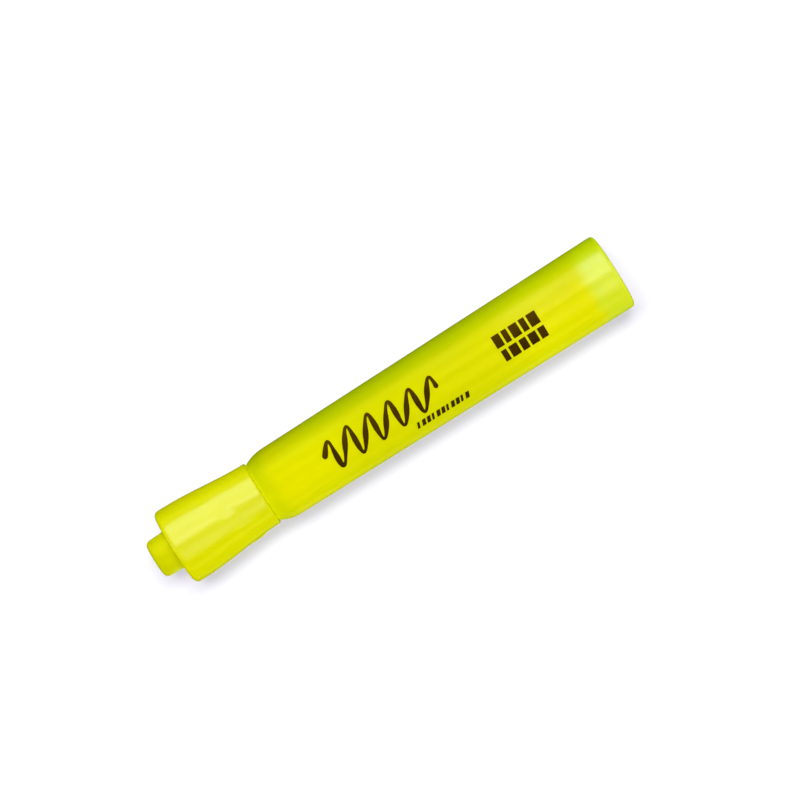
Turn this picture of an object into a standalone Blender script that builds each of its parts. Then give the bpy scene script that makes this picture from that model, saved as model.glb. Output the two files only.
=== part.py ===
"""Tank highlighter: a fat tapered barrel with an ink reservoir and a chisel nib, and a pull-off cap.

The pen lies along X with its cap towards -X, and rests on the plane z = 0. Every turned piece is a
profile of (radius, station) points about the pen's axis, where a station is the distance from the
end face of the cap's stub. Run it with: blender --background --python part.py
"""

import math

import bmesh
import bpy
from mathutils import Matrix

MM = 0.001

# ---- driving dimensions, metres ----
LENGTH = 125 * MM
BARREL_RADIUS_REAR = 9.48 * MM
BARREL_RADIUS_FRONT = 8.78 * MM
CAP_RADIUS = 9.46 * MM
CAP_MOUTH_RADIUS = 8.02 * MM
STUB_RADIUS = 4.85 * MM
STUB_TIP_RADIUS = 4.68 * MM
BARREL_WALL = 1.3 * MM
CAP_WALL = 1.25 * MM
NIB_WIDTH = 5.2 * MM
NIB_THICKNESS = 3.2 * MM
CLIP_WIDTH = 5.0 * MM
SMALL_GAP = 0.15 * MM  # between turned pieces that sit one inside another
REST_GAP = 0.3 * MM  # between pieces that butt against each other

# ---- stations along the axis, from the stub's end face ----
CAP_END = 5.2 * MM
CAP_TAPER_START = 8.0 * MM
CAP_MOUTH = 29.2 * MM
SHOULDER_START = 29.5 * MM
SHOULDER_END = 34.5 * MM
SHOULDER_ARC = 10.6 * MM  # radius of the shoulder's rounding
TAPER_START = 35.5 * MM  # where BARREL_RADIUS_FRONT is measured
TAPER_END = 121.5 * MM
RESERVOIR_FRONT = 32.7 * MM
RESERVOIR_REAR = 116.9 * MM
PLUG_FRONT = 117.3 * MM
HOLDER_NOSE = 11.0 * MM
NECK_FRONT = 20.6 * MM
NIB_TIP = 4.2 * MM
NIB_TAIL = 38.6 * MM

# ---- radii and details ----
NECK_RADIUS = 6.6 * MM
NECK_BEAD_RADIUS = 6.85 * MM
NECK_BEAD_STATION = 26.0 * MM
CAP_BEAD_RADIUS = 7.0 * MM
CAP_BEAD_STATION = 27.9 * MM
NECK_BORE = 5.6 * MM
SEAL_BORE = 3.95 * MM
SEAL_MOUTH = 16.6 * MM
HOLDER_NOSE_RADIUS = 3.7 * MM
RESERVOIR_RADIUS = 7.2 * MM
FILM = 0.15 * MM
CLIP_ANGLE = math.radians(41.4)  # how far round from straight down the clip's middle is
CLIP_INNER = 9.6 * MM  # distance from the pen's axis to the clip's inner face
CLIP_OUTER = 10.4 * MM
CLIP_START = 5.7 * MM
CLIP_TIP = 26.8 * MM
CLIP_SEAT = 9.25 * MM  # distance from the axis to the flat on the cap beneath the clip
CLIP_FOOT = (6.9 * MM, 9.1 * MM)  # stations between which the clip's foot reaches into the cap
CLIP_FOOT_RADIUS = 8.75 * MM
CLIP_PIVOT = (9.3 * MM, 6.9 * MM)  # radius and station of the root about which the clip flexes

SEGMENTS = 40
CORNER_STEPS = 3
HALF_FACET = math.pi / SEGMENTS
AXIS_HEIGHT = BARREL_RADIUS_REAR * math.cos(HALF_FACET)  # a flat facet lies on the plane z = 0


def clear_scene():
    for obj in list(bpy.data.objects):
        bpy.data.objects.remove(obj, do_unlink=True)
    for name in ("highlighter", "cutters"):
        old = bpy.data.collections.get(name)
        if old:
            bpy.data.collections.remove(old)


def new_collection(name):
    collection = bpy.data.collections.new(name)
    bpy.context.scene.collection.children.link(collection)
    return collection


def make_material(name, color, roughness, transmission=0.0):
    material = bpy.data.materials.new(name)
    material.use_nodes = True
    shader = material.node_tree.nodes["Principled BSDF"]
    shader.inputs["Base Color"].default_value = (*color, 1.0)
    shader.inputs["Roughness"].default_value = roughness
    shader.inputs["Metallic"].default_value = 0.0
    shader.inputs["Transmission Weight"].default_value = transmission
    material.diffuse_color = (*color, 1.0)
    return material


def add_empty(name, parent, location=(0, 0, 0), rotation=(0, 0, 0)):
    empty = bpy.data.objects.new(name, None)
    empty.empty_display_size = 5 * MM
    empty.location = location
    empty.rotation_euler = rotation
    empty.parent = parent
    PARTS.objects.link(empty)
    return empty


def place(obj, parent, collection=None, rotation=(0, 0, 0)):
    obj.rotation_euler = rotation
    obj.parent = parent
    (collection or PARTS).objects.link(obj)
    return obj


def corner(radius, station, size, start, end, steps=CORNER_STEPS):
    """Points of an arc of the given size centred on (radius, station).

    Angles are in degrees: 0 points away from the axis and 90 towards the pen's rear.
    """
    points = []
    for i in range(steps + 1):
        angle = math.radians(start + (end - start) * i / steps)
        points.append((radius + size * math.cos(angle), station + size * math.sin(angle)))
    return points


def lathe(name, profile, material, parent, closed=True):
    """A turned piece: its profile runs down the outer side from the rear, then back inside."""
    mesh = bpy.data.meshes.new(name)
    vertices = [(radius, 0.0, station) for radius, station in profile]
    edges = [(i, i + 1) for i in range(len(profile) - 1)]
    if closed:
        edges.append((len(profile) - 1, 0))
    mesh.from_pydata(vertices, edges, [])
    mesh.materials.append(material)
    obj = place(bpy.data.objects.new(name, mesh), parent, rotation=(0, 0, HALF_FACET))
    screw = obj.modifiers.new("Turn", "SCREW")
    screw.axis = "Z"
    screw.angle = math.tau
    screw.steps = SEGMENTS
    screw.render_steps = SEGMENTS
    screw.use_merge_vertices = True
    screw.merge_threshold = 0.00001
    screw.use_smooth_shade = True
    return obj


def flat_shape(name, outline, thickness, parent, collection=None, rotation=(0, 0, 0)):
    """A closed mesh of a flat outline in its local XY plane, thickness measured along its Z."""
    curve = bpy.data.curves.new(name, "CURVE")
    curve.dimensions = "2D"
    curve.fill_mode = "BOTH"
    curve.extrude = thickness / 2
    spline = curve.splines.new("POLY")
    spline.points.add(len(outline) - 1)
    for point, (x, y) in zip(spline.points, outline):
        point.co = (x, y, 0.0, 1.0)
    spline.use_cyclic_u = True
    guide = bpy.data.objects.new(name + "_outline", curve)
    bpy.context.scene.collection.objects.link(guide)
    bpy.context.view_layer.update()
    evaluated = guide.evaluated_get(bpy.context.evaluated_depsgraph_get())
    mesh = bpy.data.meshes.new_from_object(evaluated)
    bpy.data.objects.remove(guide, do_unlink=True)
    weld_mesh(mesh)
    return place(bpy.data.objects.new(name, mesh), parent, collection, rotation=rotation)


def weld_mesh(mesh):
    welded = bmesh.new()
    welded.from_mesh(mesh)
    bmesh.ops.remove_doubles(welded, verts=welded.verts, dist=0.000001)
    bmesh.ops.recalc_face_normals(welded, faces=welded.faces)
    welded.to_mesh(mesh)
    welded.free()


def box(name, low, high, parent, collection=None, rotation=(0, 0, 0)):
    """A closed box between two corners of its parent's frame."""
    cube = bmesh.new()
    bmesh.ops.create_cube(cube, size=1.0)
    middle = [(a + b) / 2 for a, b in zip(low, high)]
    size = [b - a for a, b in zip(low, high)]
    for vertex in cube.verts:
        vertex.co = [m + c * s for m, c, s in zip(middle, vertex.co, size)]
    mesh = bpy.data.meshes.new(name)
    cube.to_mesh(mesh)
    cube.free()
    return place(bpy.data.objects.new(name, mesh), parent, collection, rotation=rotation)


def boolean(obj, tool, operation="DIFFERENCE"):
    tool.hide_render = True
    tool.display_type = "WIRE"
    modifier = obj.modifiers.new(tool.name, "BOOLEAN")
    modifier.operation = operation
    modifier.solver = "EXACT"
    modifier.object = tool


def barrel_radius(station):
    """Outer radius of the barrel's straight taper."""
    share = (station - TAPER_START) / (TAPER_END - TAPER_START)
    return BARREL_RADIUS_FRONT + (BARREL_RADIUS_REAR - BARREL_RADIUS_FRONT) * share


def cap_radius(station):
    """Outer radius of the cap: full at its closed end, easing down to the mouth."""
    share = (station - CAP_TAPER_START) / (CAP_MOUTH - CAP_TAPER_START)
    share = min(max(share, 0.0), 1.0)
    return CAP_RADIUS + (CAP_MOUTH_RADIUS - CAP_RADIUS) * share * share * (3 - 2 * share)


def shoulder_profile():
    """The barrel's round shoulder, from the taper down to the step behind the cap's mouth."""
    sweep = math.degrees(math.asin((SHOULDER_END - SHOULDER_START) / SHOULDER_ARC))
    return corner(barrel_radius(SHOULDER_END) - SHOULDER_ARC, SHOULDER_END, SHOULDER_ARC, 0, -sweep, 5)


def make_barrel():
    """The barrel's shell, its shoulder, and the neck that the cap snaps over."""
    rim = 1.0 * MM
    inner_front = barrel_radius(RESERVOIR_FRONT) - BARREL_WALL
    outer = [(BARREL_RADIUS_REAR - BARREL_WALL, LENGTH)]
    outer += corner(BARREL_RADIUS_REAR - rim, LENGTH - rim, rim, 90, 0, 4)
    outer += [(BARREL_RADIUS_REAR, TAPER_END), (BARREL_RADIUS_FRONT, TAPER_START)]
    outer += shoulder_profile()
    neck = [(NECK_RADIUS, SHOULDER_START)]
    neck += [(NECK_RADIUS, NECK_BEAD_STATION + 0.6 * MM), (NECK_BEAD_RADIUS, NECK_BEAD_STATION)]
    neck += [(NECK_RADIUS, NECK_BEAD_STATION - 0.8 * MM)]
    neck += corner(NECK_RADIUS - 0.4 * MM, NECK_FRONT + 0.4 * MM, 0.4 * MM, 0, -90, 2)
    bore = [(NECK_BORE, NECK_FRONT), (NECK_BORE, 30.4 * MM), (inner_front - 0.5 * MM, 31.5 * MM)]
    bore += [(inner_front, 32.2 * MM)]
    return lathe("barrel", outer + neck + bore, MATERIALS["barrel"], PEN_AXIS)


def make_rear_plug():
    """A cup pressed into the barrel's open end, flush with its rim."""
    outer = BARREL_RADIUS_REAR - BARREL_WALL - SMALL_GAP
    inner = outer - 1.1 * MM
    floor = LENGTH - 1.4 * MM
    profile = [(0.0, LENGTH), (outer - 0.3 * MM, LENGTH), (outer, LENGTH - 0.3 * MM)]
    profile += [(outer, PLUG_FRONT + 1.2 * MM), (outer - 0.35 * MM, PLUG_FRONT)]
    profile += [(inner, PLUG_FRONT), (inner, floor - 0.5 * MM), (inner - 0.5 * MM, floor), (0.0, floor)]
    return lathe("rear_plug", profile, MATERIALS["plug"], PEN_AXIS, closed=False)


def make_reservoir():
    """The rod of bonded fibre that holds the ink, with its film sleeve and breather tube."""
    fibre = RESERVOIR_RADIUS - FILM - SMALL_GAP
    recess = 3.3 * MM
    front, rear = RESERVOIR_FRONT + 0.3 * MM, RESERVOIR_REAR - 0.3 * MM
    profile = [(0.0, rear), (fibre - 0.3 * MM, rear), (fibre, rear - 0.3 * MM)]
    profile += [(fibre, front + 0.3 * MM), (fibre - 0.3 * MM, front), (recess, front)]
    profile += [(recess, NIB_TAIL + REST_GAP), (0.0, NIB_TAIL + 1.2 * MM)]
    core = lathe("reservoir_core", profile, MATERIALS["fibre"], PEN_AXIS, closed=False)
    tube_radius = 0.6 * MM
    groove_radius = tube_radius + 0.25 * MM
    centre = fibre - tube_radius - 0.12 * MM
    boolean(core, rod_cutter("breather_groove", centre, groove_radius, front - MM, rear + MM))
    sleeve = [(RESERVOIR_RADIUS, RESERVOIR_REAR), (RESERVOIR_RADIUS, RESERVOIR_FRONT)]
    sleeve += [(RESERVOIR_RADIUS - FILM, RESERVOIR_FRONT), (RESERVOIR_RADIUS - FILM, RESERVOIR_REAR)]
    lathe("reservoir_wrap", sleeve, MATERIALS["film"], PEN_AXIS)
    make_breather_tube(centre, tube_radius, front + 0.5 * MM, rear - 0.5 * MM)


def rod_cutter(name, offset, radius, start, end, segments=16):
    """A cutter shaped as a round rod along the pen, beside its axis by the offset."""
    rod = bmesh.new()
    middle = Matrix.Translation((0.0, offset, (start + end) / 2))
    bmesh.ops.create_cone(rod, cap_ends=True, segments=segments, radius1=radius, radius2=radius,
                          depth=end - start, matrix=middle)
    mesh = bpy.data.meshes.new(name)
    rod.to_mesh(mesh)
    rod.free()
    return place(bpy.data.objects.new(name, mesh), PEN_AXIS, CUTTERS)


def make_breather_tube(offset, radius, start, end):
    """The fine open tube beside the fibre that lets air past the ink."""
    profile = [(radius, end), (radius, start), (radius - 0.25 * MM, start), (radius - 0.25 * MM, end)]
    tube = lathe("breather_tube", profile, MATERIALS["film"], PEN_AXIS)
    tube.modifiers["Turn"].steps = 16
    tube.modifiers["Turn"].render_steps = 16
    tube.location = (0.0, offset, 0.0)
    return tube


def make_nib_holder():
    """The collar pressed into the neck: it grips the nib and lets air past two grooves."""
    flange, flange_rear = 6.45 * MM, NECK_FRONT - REST_GAP
    flange_front = flange_rear - 1.1 * MM
    plug_radius, rear = NECK_BORE - SMALL_GAP, 29.2 * MM
    nose = HOLDER_NOSE_RADIUS
    profile = [(0.0, rear), (plug_radius - 0.5 * MM, rear), (plug_radius, rear - 0.8 * MM)]
    profile += [(plug_radius, flange_rear), (flange, flange_rear), (flange, flange_front + 0.3 * MM)]
    profile += [(flange - 0.3 * MM, flange_front), (nose + 0.5 * MM, 17.6 * MM)]
    profile += [(nose, 16.8 * MM), (nose, HOLDER_NOSE + 0.5 * MM), (nose - 0.4 * MM, HOLDER_NOSE)]
    profile += [(0.0, HOLDER_NOSE)]
    holder = lathe("nib_holder", profile, MATERIALS["holder"], PEN_AXIS, closed=False)
    half_w, half_t = NIB_WIDTH / 2 + SMALL_GAP, NIB_THICKNESS / 2 + SMALL_GAP
    slot = box("nib_slot", (-half_t, -half_w, HOLDER_NOSE - MM), (half_t, half_w, rear + MM),
               PEN_AXIS, CUTTERS)
    boolean(holder, slot)
    depth, half = 0.55 * MM, 0.4 * MM
    for side, name in ((1, "vent_lower"), (-1, "vent_upper")):
        low, high = sorted((side * (plug_radius - depth), side * (flange + MM)))
        vent = box(name, (low, -half, 18.6 * MM), (high, half, rear + MM), PEN_AXIS, CUTTERS)
        boolean(holder, vent)
    return holder


def make_nib():
    """A flat bar of felt with a slanted writing edge and a pointed tail that feeds from the fibre."""
    half = NIB_WIDTH / 2
    slant = NIB_WIDTH * 0.62
    rounding = 0.45 * MM
    outline = [(NIB_TIP, half - rounding), (NIB_TIP + rounding, half)]
    outline += [(NIB_TAIL - 5.0 * MM, half), (NIB_TAIL - 0.6 * MM, 0.9 * MM), (NIB_TAIL, 0.3 * MM)]
    outline += [(NIB_TAIL, -0.3 * MM), (NIB_TAIL - 0.6 * MM, -0.9 * MM), (NIB_TAIL - 5.0 * MM, -half)]
    outline += [(NIB_TIP + slant + rounding, -half), (NIB_TIP + slant - 0.1 * MM, -half + rounding)]
    nib = flat_shape("chisel_nib", outline, NIB_THICKNESS, PEN_AXIS, rotation=(0, -math.pi / 2, 0))
    nib.data.materials.append(MATERIALS["nib"])
    bevel = nib.modifiers.new("Edges", "BEVEL")
    bevel.width = 0.3 * MM
    bevel.segments = 2
    bevel.limit_method = "ANGLE"
    bevel.angle_limit = math.radians(50)
    return nib


def make_cap_shell():
    """The cap's waisted shell, with a bead inside its mouth and a seat for the clip outside."""
    lip, edge = 0.35 * MM, 1.0 * MM
    hole = STUB_RADIUS + 0.2 * MM
    closed_inside = CAP_END + 1.5 * MM
    mouth_wall = 0.95 * MM
    outer = corner(CAP_MOUTH_RADIUS - lip, CAP_MOUTH - lip, lip, 90, 0, 2)
    steps = 9
    for i in range(1, steps + 1):
        station = CAP_MOUTH + (CAP_TAPER_START - CAP_MOUTH) * i / steps
        outer.append((cap_radius(station), station))
    outer += corner(CAP_RADIUS - edge, CAP_END + edge, edge, 0, -90, 4)
    bore = CAP_RADIUS - CAP_WALL - 0.2 * MM
    inner = [(hole, CAP_END), (hole, closed_inside), (bore - 0.7 * MM, closed_inside)]
    inner += [(bore, closed_inside + 0.7 * MM), (bore, 10.0 * MM)]
    first, last, steps = 15.0 * MM, CAP_BEAD_STATION - 1.3 * MM, 3
    for i in range(steps + 1):
        share = i / steps
        station = first + (last - first) * share
        wall = CAP_WALL + (mouth_wall - CAP_WALL) * share
        inner.append((cap_radius(station) - wall, station))
    inner += [(CAP_BEAD_RADIUS, CAP_BEAD_STATION - 0.4 * MM), (CAP_BEAD_RADIUS, CAP_BEAD_STATION)]
    inner += [(CAP_MOUTH_RADIUS - mouth_wall + 0.1 * MM, CAP_MOUTH)]
    shell = lathe("cap_shell", outer + inner, MATERIALS["cap"], CAP_AXIS)
    half = CLIP_WIDTH / 2 + REST_GAP
    turn = (0, 0, -CLIP_ANGLE)
    outside = CLIP_OUTER + MM
    seat_low, seat_high = (CLIP_SEAT, -half, CAP_END - MM), (outside, half, 13.5 * MM)
    foot_low = (CLIP_FOOT_RADIUS - REST_GAP, -half, CLIP_FOOT[0] - REST_GAP)
    foot_high = (outside, half, CLIP_FOOT[1] + REST_GAP)
    boolean(shell, box("clip_seat", seat_low, seat_high, CAP_AXIS, CUTTERS, turn))
    boolean(shell, box("clip_pocket", foot_low, foot_high, CAP_AXIS, CUTTERS, turn))
    return shell


def make_cap_seal():
    """The sealing tube inside the cap; its closed end comes out through the cap's end as a stub."""
    edge, wall = 1.0 * MM, STUB_RADIUS - SEAL_BORE
    flange, flange_front = 6.4 * MM, CAP_END + 1.5 * MM + REST_GAP
    flange_rear = flange_front + 1.0 * MM
    floor = wall + 0.3 * MM
    bore = [(0.0, floor), (SEAL_BORE - 0.7 * MM, floor), (SEAL_BORE, floor + 0.7 * MM)]
    bore += [(SEAL_BORE, SEAL_MOUTH - 0.5 * MM), (SEAL_BORE + 0.25 * MM, SEAL_MOUTH)]
    outer = [(STUB_RADIUS - 0.3 * MM, SEAL_MOUTH), (STUB_RADIUS, SEAL_MOUTH - 0.6 * MM)]
    outer += [(STUB_RADIUS, flange_rear), (flange, flange_rear), (flange, flange_front)]
    outer += [(STUB_RADIUS, flange_front), (STUB_RADIUS, CAP_END)]
    outer += corner(STUB_TIP_RADIUS - edge, edge, edge, 0, -90, 4) + [(0.0, 0.0)]
    return lathe("cap_inner_seal", bore + outer, MATERIALS["seal"], CAP_AXIS, closed=False)


def make_clip():
    """A springy bar with a foot in the cap's pocket and a bead under its tip."""
    pivot_radius, pivot_station = CLIP_PIVOT
    bead_height, bead_half_length, bead_station = 1.05 * MM, 1.25 * MM, 24.0 * MM
    side = [(CLIP_OUTER - 0.5 * MM, CLIP_START), (CLIP_OUTER, CLIP_START + 0.5 * MM)]
    side += [(CLIP_OUTER, 23.5 * MM), (CLIP_OUTER - 0.12 * MM, 25.5 * MM)]
    side += [(CLIP_OUTER - 0.4 * MM, CLIP_TIP), (CLIP_INNER, CLIP_TIP)]
    bead_steps = 6
    for i in range(bead_steps + 1):
        angle = math.pi * i / bead_steps
        station = bead_station + bead_half_length * math.cos(angle)
        side.append((CLIP_INNER - bead_height * math.sin(angle), station))
    side += [(CLIP_INNER, CLIP_FOOT[1]), (CLIP_FOOT_RADIUS, CLIP_FOOT[1])]
    side += [(CLIP_FOOT_RADIUS, CLIP_FOOT[0]), (CLIP_INNER, CLIP_FOOT[0]), (CLIP_INNER, CLIP_START)]
    side = [(radius - pivot_radius, station - pivot_station) for radius, station in side]
    clip = flat_shape("pocket_clip", side, CLIP_WIDTH, CLIP_AXIS, rotation=(math.pi / 2, 0, 0))
    clip.data.materials.append(MATERIALS["cap"])
    deep = 8 * MM
    turn = (0, math.pi / 2, 0)
    outline = flat_shape("clip_plan", clip_plan(pivot_station), deep, CLIP_AXIS, CUTTERS, turn)
    boolean(clip, outline, "INTERSECT")
    return clip


def clip_plan(pivot_station):
    """The clip seen from outside: straight sides and a long rounded tip."""
    half, tip_length, steps = CLIP_WIDTH / 2, 4.4 * MM, 10
    start = CLIP_START - MM - pivot_station
    tip_start = CLIP_TIP - tip_length - pivot_station
    plan = [(-start, -half - 0.1 * MM)]
    for i in range(steps + 1):
        angle = -math.pi / 2 + math.pi * i / steps
        reach = tip_start + tip_length * math.cos(angle)
        plan.append((-reach, (half + 0.1 * MM) * math.sin(angle)))
    plan.append((-start, half + 0.1 * MM))
    return plan


clear_scene()
PARTS = new_collection("highlighter")
CUTTERS = new_collection("cutters")
MATERIALS = {
    "barrel": make_material("barrel_plastic", (0.75, 0.72, 0.005), 0.35),
    "plug": make_material("plug_plastic", (0.78, 0.86, 0.06), 0.4),
    "fibre": make_material("ink_fibre", (0.82, 0.85, 0.01), 0.9),
    "film": make_material("reservoir_film", (0.85, 0.86, 0.12), 0.2, 0.4),
    "holder": make_material("holder_plastic", (0.86, 0.87, 0.80), 0.45),
    "nib": make_material("nib_felt", (0.85, 0.90, 0.02), 0.9),
    "cap": make_material("cap_plastic", (0.74, 0.77, 0.01), 0.38),
    "seal": make_material("seal_plastic", (0.70, 0.73, 0.004), 0.42),
}
# Local Z of the pen's axis runs from the stub to the rear, and its local X points straight down.
PEN_AXIS = add_empty("pen_axis", None, (-LENGTH / 2, 0, AXIS_HEIGHT), (0, math.pi / 2, 0))
CAP_AXIS = add_empty("cap_axis", PEN_AXIS)
CLIP_TURN = add_empty("clip_turn", CAP_AXIS, rotation=(0, 0, -CLIP_ANGLE))
CLIP_AXIS = add_empty("clip_axis", CLIP_TURN, (CLIP_PIVOT[0], 0, CLIP_PIVOT[1]))

make_barrel()
make_rear_plug()
make_reservoir()
make_nib_holder()
make_nib()
make_cap_shell()
make_cap_seal()
make_clip()
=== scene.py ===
"""The highlighter's looks: fine meshes, moulded-plastic, fibre and felt materials, camera and light."""

import math

import bmesh
import bpy
from mathutils import Matrix, Vector


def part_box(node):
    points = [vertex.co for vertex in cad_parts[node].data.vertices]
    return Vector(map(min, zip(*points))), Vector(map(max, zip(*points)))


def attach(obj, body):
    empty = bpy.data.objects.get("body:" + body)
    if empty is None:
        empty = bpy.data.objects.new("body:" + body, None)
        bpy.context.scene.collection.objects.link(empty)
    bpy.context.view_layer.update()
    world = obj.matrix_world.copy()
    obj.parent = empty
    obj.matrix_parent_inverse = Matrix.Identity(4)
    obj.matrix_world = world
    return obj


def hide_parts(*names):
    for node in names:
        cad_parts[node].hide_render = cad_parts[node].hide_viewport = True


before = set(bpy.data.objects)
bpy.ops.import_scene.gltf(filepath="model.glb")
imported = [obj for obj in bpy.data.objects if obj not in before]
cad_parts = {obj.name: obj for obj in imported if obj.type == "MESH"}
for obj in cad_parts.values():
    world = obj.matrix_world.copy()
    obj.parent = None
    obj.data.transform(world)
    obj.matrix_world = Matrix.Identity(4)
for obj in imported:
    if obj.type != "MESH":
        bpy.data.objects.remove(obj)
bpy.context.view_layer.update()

MM = 0.001
NEAR_ZERO = 1e-6  # metres
CAD_SIDES = 40  # the CAD barrel has this many flat sides
SHARP = 38  # degrees by which an edge has to turn to look sharp

# ---- the pen's own frame, read from the CAD ----
BARREL_LOW, BARREL_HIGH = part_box("barrel")
AXIS_Z = (BARREL_LOW.z + BARREL_HIGH.z) / 2
REAR_RADIUS = (BARREL_HIGH.z - BARREL_LOW.z) / 2 / math.cos(math.pi / CAD_SIDES)
FRONT_RADIUS = REAR_RADIUS - 0.7 * MM
CAP_RADIUS = REAR_RADIUS - 0.02 * MM
TIP_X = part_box("cap_inner_seal")[0].x  # the stub's end face, from which stations are measured


def stations(box):
    """The stations, the places along the pen, where a CAD node's box starts and ends."""
    low, high = box
    return low.x - TIP_X, high.x - TIP_X


NECK_FRONT, LENGTH = stations((BARREL_LOW, BARREL_HIGH))
CAP_END, CAP_REAR = stations(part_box("cap_shell"))
PLUG_FRONT = stations(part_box("rear_plug"))[0]
RESERVOIR = stations(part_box("reservoir_wrap"))
HOLDER = stations(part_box("nib_holder"))
NIB = stations(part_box("chisel_nib"))

# ---- stations (from the stub's end face) and radii, metres ----
SEATED = 0.08 * MM  # the gap between the cap's mouth and the shoulder
CAP_MOUTH = CAP_REAR + SEATED
CAP_TAPER_START = CAP_END + 2.8 * MM
CAP_MOUTH_RADIUS = 8.02 * MM
STUB_RADIUS, STUB_TIP_RADIUS = 4.85 * MM, 4.68 * MM
SHOULDER_START, SHOULDER_END = CAP_MOUTH + SEATED, 34.5 * MM
SHOULDER_ARC = 10.6 * MM  # radius of the shoulder's rounding
TAPER_START, TAPER_END = 35.5 * MM, 121.5 * MM
NIB_WIDTH, NIB_THICKNESS = 5.2 * MM, 3.2 * MM
BARREL_WALL, CAP_WALL = 1.3 * MM, 1.25 * MM
NECK_RADIUS, NECK_BORE = 6.6 * MM, 5.6 * MM
SNAP_BEAD = 26.3 * MM  # the middle of the ridge on the neck that the cap snaps over
SEAL_BORE, SEAL_MOUTH = 3.95 * MM, 16.6 * MM
CLIP_TURN = math.radians(41.4)  # the clip's middle, round from straight down towards -Y
CLIP_INNER, CLIP_OUTER, CLIP_WIDTH = 9.6 * MM, 10.4 * MM, 5.0 * MM
CLIP_START, CLIP_TIP = 5.7 * MM, 26.8 * MM
FOOT_START, FOOT_END = 6.9 * MM, 9.1 * MM  # the clip's foot, which sits in a pocket of the cap
SEGMENTS = 200  # corners of a round piece


# ---------------------------------------------------------------- geometry

def spot(radius, station, angle):
    """A point of the pen: its angle is round from straight up towards -Y."""
    return Vector((TIP_X + station, -radius * math.sin(angle), AXIS_Z + radius * math.cos(angle)))


def barrel_radius(station):
    """The barrel's outer radius, which grows evenly towards its rear end."""
    share = (station - TAPER_START) / (TAPER_END - TAPER_START)
    return FRONT_RADIUS + (REAR_RADIUS - FRONT_RADIUS) * share


def cap_radius(station):
    """The cap's outer radius, which narrows in a soft S-curve towards its mouth."""
    share = min(max((station - CAP_TAPER_START) / (CAP_MOUTH - CAP_TAPER_START), 0.0), 1.0)
    return CAP_RADIUS + (CAP_MOUTH_RADIUS - CAP_RADIUS) * share * share * (3 - 2 * share)


def fillet(points, closed=True, fineness=math.radians(9)):
    """Rounds a polyline of (radius, station, rounding) points into (radius, station) points.

    A rounding that doesn't fit its two sides is made smaller.
    """
    rounded = []
    count = len(points)
    for i, (x, y, size) in enumerate(points):
        here = Vector((x, y))
        if size <= 0 or (not closed and i in (0, count - 1)):
            rounded.append((x, y))
            continue
        back = Vector(points[i - 1][:2]) - here
        ahead = Vector(points[(i + 1) % count][:2]) - here
        between = back.angle(ahead)
        if between > math.pi - 0.01:  # nearly straight
            rounded.append((x, y))
            continue
        reach = min(size / math.tan(between / 2), back.length * 0.8, ahead.length * 0.8)
        size = reach * math.tan(between / 2)
        inwards = (back.normalized() + ahead.normalized()).normalized()
        centre = here + inwards * (size / math.sin(between / 2))
        first = here + back.normalized() * reach - centre
        last = here + ahead.normalized() * reach - centre
        sweep = first.angle_signed(last)
        steps = max(2, int(abs(sweep) / fineness))
        for k in range(steps + 1):
            turned_by = Matrix.Rotation(-sweep * k / steps, 2)
            arc_point = centre + turned_by @ first
            rounded.append((arc_point.x, arc_point.y))
    return rounded


def spaced(points, step):
    """Adds points along the long straight stretches, so that relief and waviness have vertices."""
    out = []
    for (x0, y0), (x1, y1) in zip(points, points[1:]):
        pieces = max(1, int(math.hypot(x1 - x0, y1 - y0) / step))
        for k in range(pieces):
            out.append((x0 + (x1 - x0) * k / pieces, y0 + (y1 - y0) * k / pieces))
    return out + [points[-1]]


def turned(name, profile, closed=True, relief=None, extra=(), segments=SEGMENTS):
    """A turned mesh of the profile, with extra angles where finer corners are needed.

    relief(radius, station, angle) is added to the radius.
    """
    angles = sorted([math.tau * i / segments for i in range(segments)] + list(extra))
    work = bmesh.new()
    rings = []
    for radius, station in profile:
        if radius < NEAR_ZERO:
            rings.append([work.verts.new(spot(0, station, 0))])
            continue
        ring = []
        for angle in angles:
            raised = relief(radius, station, angle) if relief else 0.0
            ring.append(work.verts.new(spot(radius + raised, station, angle)))
        rings.append(ring)
    following = rings[1:] + ([rings[0]] if closed else [])
    for ring, after in zip(rings, following):
        for i in range(len(angles)):
            j = (i + 1) % len(angles)
            if len(ring) == 1:
                work.faces.new((ring[0], after[i], after[j]))
            elif len(after) == 1:
                work.faces.new((ring[i], after[0], ring[j]))
            else:
                work.faces.new((ring[i], after[i], after[j], ring[j]))
    bmesh.ops.recalc_face_normals(work, faces=work.faces)
    return finished(name, work)


def shade(mesh, sharp):
    """Smooth shading, apart from the edges that turn by more than sharp degrees."""
    mesh.shade_smooth()
    mesh.set_sharp_from_angle(angle=math.radians(sharp))


def finished(name, work, sharp=SHARP):
    """Makes an object of a bmesh."""
    mesh = bpy.data.meshes.new(name)
    work.to_mesh(mesh)
    work.free()
    shade(mesh, sharp)
    obj = bpy.data.objects.new(name, mesh)
    bpy.context.scene.collection.objects.link(obj)
    return obj


def settle(obj):
    """Applies an object's modifiers to its mesh."""
    bpy.context.view_layer.update()
    evaluated = obj.evaluated_get(bpy.context.evaluated_depsgraph_get())
    mesh = bpy.data.meshes.new_from_object(evaluated)
    obj.modifiers.clear()
    obj.data = mesh
    shade(mesh, SHARP)


def carve(obj, cutters):
    """Cuts the cutters out of the object and removes them."""
    for cutter in cutters:
        modifier = obj.modifiers.new(cutter.name, "BOOLEAN")
        modifier.operation = "DIFFERENCE"
        modifier.solver = "EXACT"
        modifier.object = cutter
    settle(obj)
    for cutter in cutters:
        bpy.data.objects.remove(cutter, do_unlink=True)


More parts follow.
